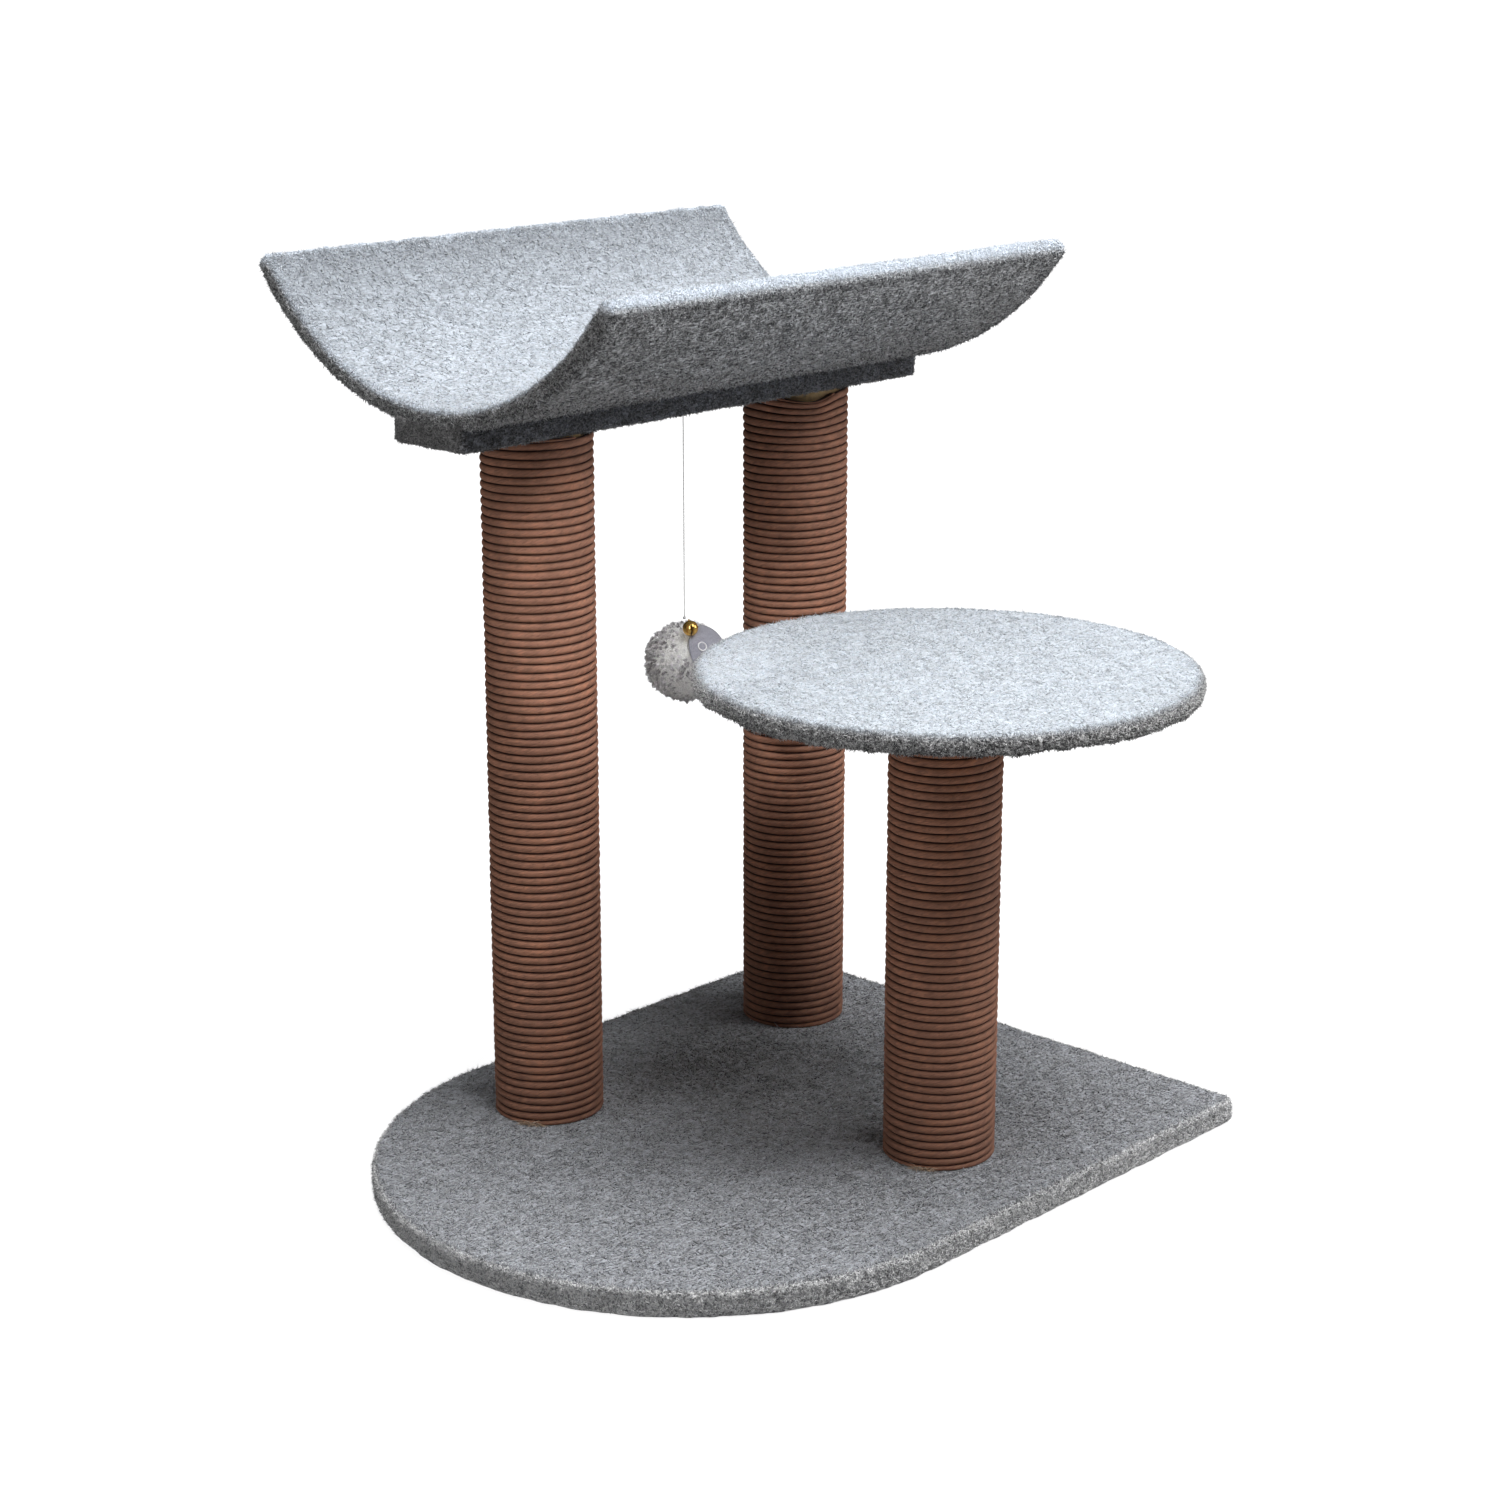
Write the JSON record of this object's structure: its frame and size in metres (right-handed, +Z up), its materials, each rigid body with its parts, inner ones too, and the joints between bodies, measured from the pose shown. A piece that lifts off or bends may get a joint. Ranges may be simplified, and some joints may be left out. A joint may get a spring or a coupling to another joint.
{
  "type": "cat tree",
  "caption": "Low cat tree: rope-wrapped posts on a rounded felt base, a round platform, a curved cradle on top and a hanging plush toy with a bell.",
  "frame": {"origin": "on the floor, under the middle of the overall box", "axes": "+X along the base towards its straight edge, +Y towards the two tall posts, +Z up"},
  "size_m": [0.5746, 0.6152, 0.6426],
  "materials": {
    "base_felt": "heathered felt",
    "platform_felt": "heathered felt",
    "cradle_felt": "heathered felt",
    "support_felt": "heathered felt",
    "board": "raw chipboard",
    "plywood": "raw plywood",
    "cardboard": "matt",
    "rope": "twisted paper",
    "steel": "zinc plated",
    "string": "clear nylon",
    "plush": "long pile",
    "filling": "fluffy",
    "patch": "short pile",
    "ring": "satin thread",
    "bell": "polished"
  },
  "bodies": {
    "stand": {"base_board": "board", "base_cover": "base_felt", "base_staples": "steel", "left_post_tube": "cardboard", "right_post_tube": "cardboard", "short_post_tube": "cardboard", "left_post_rope": "rope", "right_post_rope": "rope", "short_post_rope": "rope", "post_bottom_plugs": "plywood", "post_top_plugs": "plywood", "plug_inserts": "steel", "rope_end_staples": "steel", "base_bolts": "steel", "base_washers": "steel", "post_studs": "steel", "tee_nuts": "steel", "platform_board": "plywood", "platform_cover": "platform_felt", "platform_staples": "steel", "support_board": "plywood", "support_cover": "support_felt", "support_staples": "steel", "cradle_shell": "plywood", "cradle_cover": "cradle_felt", "cradle_screws": "steel", "toy_staple": "steel", "string_loop": "string"},
    "knot_swing": {"string_knot": "string"},
    "toy_swing": {"toy_string": "string", "toy_knot": "string"},
    "toy_ball": {"toy_plush": "plush", "toy_filling": "filling", "toy_patch": "patch", "toy_patch_ring": "ring", "bell_stitch": "string"},
    "bell": {"bell_shell": "bell"},
    "pellet": {"bell_pellet": "steel"}
  },
  "joints": [
    {"name": "toy_swing_back", "type": "hinge", "parent": "stand", "child": "knot_swing", "pos_m": [0.06825, 0.12738, 0.5207], "axis": [1, 0, 0], "range_deg": [-15, 60]},
    {"name": "toy_swing_side", "type": "hinge", "parent": "knot_swing", "child": "toy_swing", "pos_m": [0.06825, 0.12738, 0.5207], "axis": [0, 1, 0], "range_deg": [-14, 21]},
    {"name": "toy_spin", "type": "hinge", "parent": "toy_swing", "child": "toy_ball", "pos_m": [0.06825, 0.12738, 0.333], "axis": [0, 0, 1], "range_deg": [-180, 180]},
    {"name": "bell_lift", "type": "hinge", "parent": "toy_ball", "child": "bell", "pos_m": [0.05884, 0.11344, 0.36781], "axis": [-0.829, 0.5592, 0], "range_deg": [0, 40]},
    {"name": "pellet_rattle", "type": "slide", "parent": "bell", "child": "pellet", "axis": [0, 0, 1], "range_m": [0, 0.006]}
  ]
}
